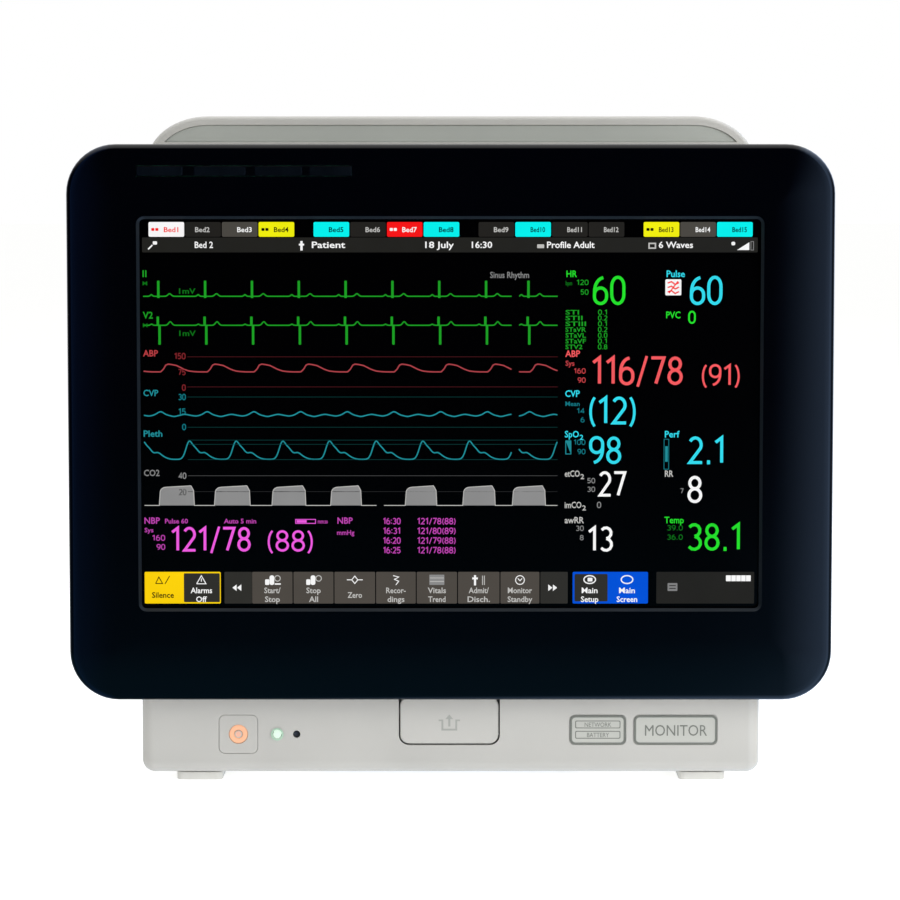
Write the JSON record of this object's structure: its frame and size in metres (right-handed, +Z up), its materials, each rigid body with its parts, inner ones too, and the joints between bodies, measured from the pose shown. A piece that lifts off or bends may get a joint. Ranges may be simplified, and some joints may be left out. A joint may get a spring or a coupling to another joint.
{
  "type": "patient monitor",
  "caption": "Bedside patient monitor with a wide touch screen in a rounded black bezel, a carrying handle, a base with release and power buttons, side connectors and a recorder.",
  "frame": {"origin": "centre of the monitor's footprint box, on the surface under the feet", "axes": "+X to the viewer's right along the screen's width, +Y from the screen to the back, +Z up"},
  "size_m": [0.327, 0.187, 0.2879],
  "materials": {
    "gloss_black": "glossy moulded bezel with a faint navy tint",
    "smoked_lens": "smoked clear lens strip",
    "touch_glass": "dark glass over the lit screen",
    "housing_grey": "fine-grained light warm grey plastic",
    "grip_grey": "mid grey plastic",
    "label_grey": "printed label plate",
    "foot_rubber": "light grey rubber",
    "seal_rubber": "black rubber",
    "amber_light": "glowing translucent ring",
    "green_light": "glowing lamp lens",
    "zinc_steel": "zinc-plated sheet steel",
    "aluminium": "bare aluminium",
    "circuit_board": "green circuit board",
    "dark_plastic": "black moulded plastic",
    "connector_panel": "grey panel",
    "blue_plastic": "blue socket",
    "red_plastic": "red socket",
    "brown_plastic": "brown socket",
    "green_plastic": "green socket",
    "white_plastic": "white socket",
    "paper": "thermal paper roll",
    "hose_rubber": "air hose",
    "battery_case": "battery case"
  },
  "bodies": {
    "monitor": {"front_bezel": "gloss_black", "alarm_lamp_lens": "smoked_lens", "touch_glass": "touch_glass", "display_rear_shell": "housing_grey", "rear_housing": "housing_grey", "carry_handle": "housing_grey", "base_tray": "housing_grey", "handle_grip_insert": "grip_grey", "label_plate_left": "label_grey", "label_plate_right": "label_grey", "foot_front_left": "foot_rubber", "foot_front_right": "foot_rubber", "foot_rear_left": "foot_rubber", "foot_rear_right": "foot_rubber", "bezel_gasket": "seal_rubber", "battery_lamp_lens": "green_light", "lcd_bracket": "zinc_steel", "rear_screw_1": "zinc_steel", "rear_screw_2": "zinc_steel", "rear_screw_3": "zinc_steel", "rear_screw_4": "zinc_steel", "latch_spring": "zinc_steel", "mount_plate": "zinc_steel", "lan_socket": "zinc_steel", "usb_socket": "zinc_steel", "video_socket": "zinc_steel", "earth_post": "zinc_steel", "chassis_plate": "zinc_steel", "print_head": "aluminium", "heat_sink": "aluminium", "power_supply": "aluminium", "nbp_valve_block": "aluminium", "alarm_lamp_board": "circuit_board", "power_switch_board": "circuit_board", "measurement_board": "circuit_board", "main_board": "circuit_board", "lcd_panel": "dark_plastic", "light_sensor_lens": "dark_plastic", "recorder_frame": "dark_plastic", "ac_inlet": "dark_plastic", "nbp_pump": "dark_plastic", "speaker": "dark_plastic", "connector_panel": "connector_panel", "spo2_connector": "blue_plastic", "nbp_connector": "red_plastic", "temp_connector": "brown_plastic", "ecg_connector": "green_plastic", "pressure_connector": "white_plastic", "nbp_hose": "hose_rubber", "battery_pack": "battery_case"},
    "power_button": {"power_button": "housing_grey", "power_ring": "amber_light"},
    "release_button": {"release_button": "housing_grey"},
    "release_latch": {"release_latch": "zinc_steel"},
    "battery_door": {"battery_door": "housing_grey"},
    "battery_catch": {"battery_door_catch": "grip_grey"},
    "recorder_door": {"recorder_door": "housing_grey"},
    "recorder_latch": {"recorder_latch": "grip_grey"},
    "platen": {"platen_roller": "seal_rubber"},
    "paper_roll": {"paper_roll": "paper"}
  },
  "joints": [
    {"name": "power_button_press", "type": "slide", "parent": "monitor", "child": "power_button", "axis": [0, 1, 0], "range_m": [0, 0.001], "stiffness_N_per_m": 200},
    {"name": "release_button_press", "type": "slide", "parent": "monitor", "child": "release_button", "axis": [0, 1, 0], "range_m": [0, 0.003], "stiffness_N_per_m": 400},
    {"name": "release_latch_lift", "type": "slide", "parent": "monitor", "child": "release_latch", "axis": [0, 0, 1], "range_m": [0, 0.003], "deforming": ["latch_spring"]},
    {"name": "battery_door_swing", "type": "hinge", "parent": "monitor", "child": "battery_door", "pos_m": [0.1315, 0.074, 0.021], "axis": [0, 0, 1], "range_deg": [0, 110]},
    {"name": "battery_catch_slide", "type": "slide", "parent": "battery_door", "child": "battery_catch", "axis": [0, 1, 0], "range_m": [0, 0.003], "stiffness_N_per_m": 200},
    {"name": "recorder_door_swing", "type": "hinge", "parent": "monitor", "child": "recorder_door", "pos_m": [0.1315, 0.0095, 0.106], "axis": [0, 1, 0], "range_deg": [0, 95]},
    {"name": "recorder_latch_slide", "type": "slide", "parent": "recorder_door", "child": "recorder_latch", "axis": [0, 0, -1], "range_m": [0, 0.003], "stiffness_N_per_m": 200},
    {"name": "platen_spin", "type": "hinge", "parent": "recorder_door", "child": "platen", "pos_m": [0.121, 0.0095, 0.184], "axis": [0, 1, 0], "continuous": true},
    {"name": "paper_roll_spin", "type": "hinge", "parent": "monitor", "child": "paper_roll", "pos_m": [0.099, 0.0095, 0.134], "axis": [0, 1, 0], "continuous": true}
  ],
  "couplings": [
    {"joint": "release_latch_lift", "follows": "release_button_press", "ratio": 1}
  ]
}
